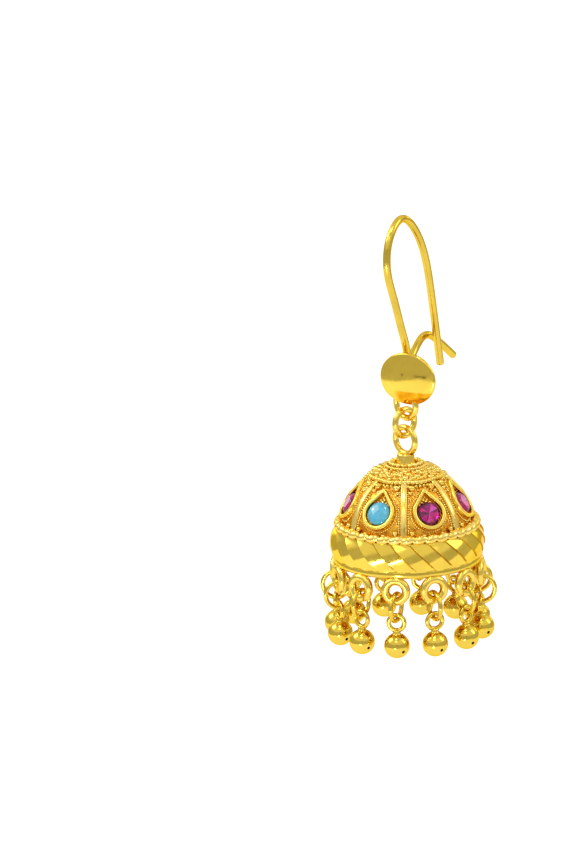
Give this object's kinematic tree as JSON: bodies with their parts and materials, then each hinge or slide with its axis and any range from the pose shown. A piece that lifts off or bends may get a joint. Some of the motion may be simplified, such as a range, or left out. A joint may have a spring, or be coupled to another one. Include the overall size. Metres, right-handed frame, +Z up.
{
  "type": "jhumka earring",
  "caption": "Gold-coloured jhumka drop earring: ear wire with a polished disc, chain link and a hollow bell set with pink and turquoise stones and fringed with ball drops.",
  "frame": {"origin": "underside of the ear wire's arch, straight above the bell's axis, where the earring hangs in the ear", "axes": "+Z up; the ear wire lies in the YZ plane with its free end towards +Y, and the polished disc faces -Y"},
  "size_m": [0.02, 0.024, 0.0497],
  "materials": {
    "gold": "polished gold plating",
    "pink_stone": "faceted, foil-backed",
    "turquoise_stone": "polished, opaque"
  },
  "bodies": {
    "hook": {"ear_hook": "gold"},
    "link": {"top_link": "gold"},
    "bell_body": {"bell": "gold", "stone_1": "turquoise_stone", "stone_2": "pink_stone", "stone_3": "pink_stone", "stone_4": "turquoise_stone", "stone_5": "pink_stone", "stone_6": "turquoise_stone", "stone_7": "pink_stone", "jump_ring_01": "gold", "jump_ring_02": "gold", "jump_ring_03": "gold", "jump_ring_04": "gold", "jump_ring_05": "gold", "jump_ring_06": "gold", "jump_ring_07": "gold", "jump_ring_08": "gold", "jump_ring_09": "gold", "jump_ring_10": "gold", "jump_ring_11": "gold", "jump_ring_12": "gold", "ball_drop_01": "gold", "ball_drop_02": "gold", "ball_drop_03": "gold", "ball_drop_04": "gold", "ball_drop_05": "gold", "ball_drop_06": "gold", "ball_drop_07": "gold", "ball_drop_08": "gold", "ball_drop_09": "gold", "ball_drop_10": "gold", "ball_drop_11": "gold", "ball_drop_12": "gold"}
  },
  "joints": [
    {"name": "link_swing", "type": "hinge", "parent": "hook", "child": "link", "pos_m": [0, 0, -0.02268], "axis": [0.9659, -0.2588, 0], "range_deg": [-30, 30]},
    {"name": "bell_swing", "type": "hinge", "parent": "link", "child": "bell_body", "pos_m": [0, 0, -0.0248], "axis": [0.2588, 0.9659, 0], "range_deg": [-30, 30]}
  ]
}
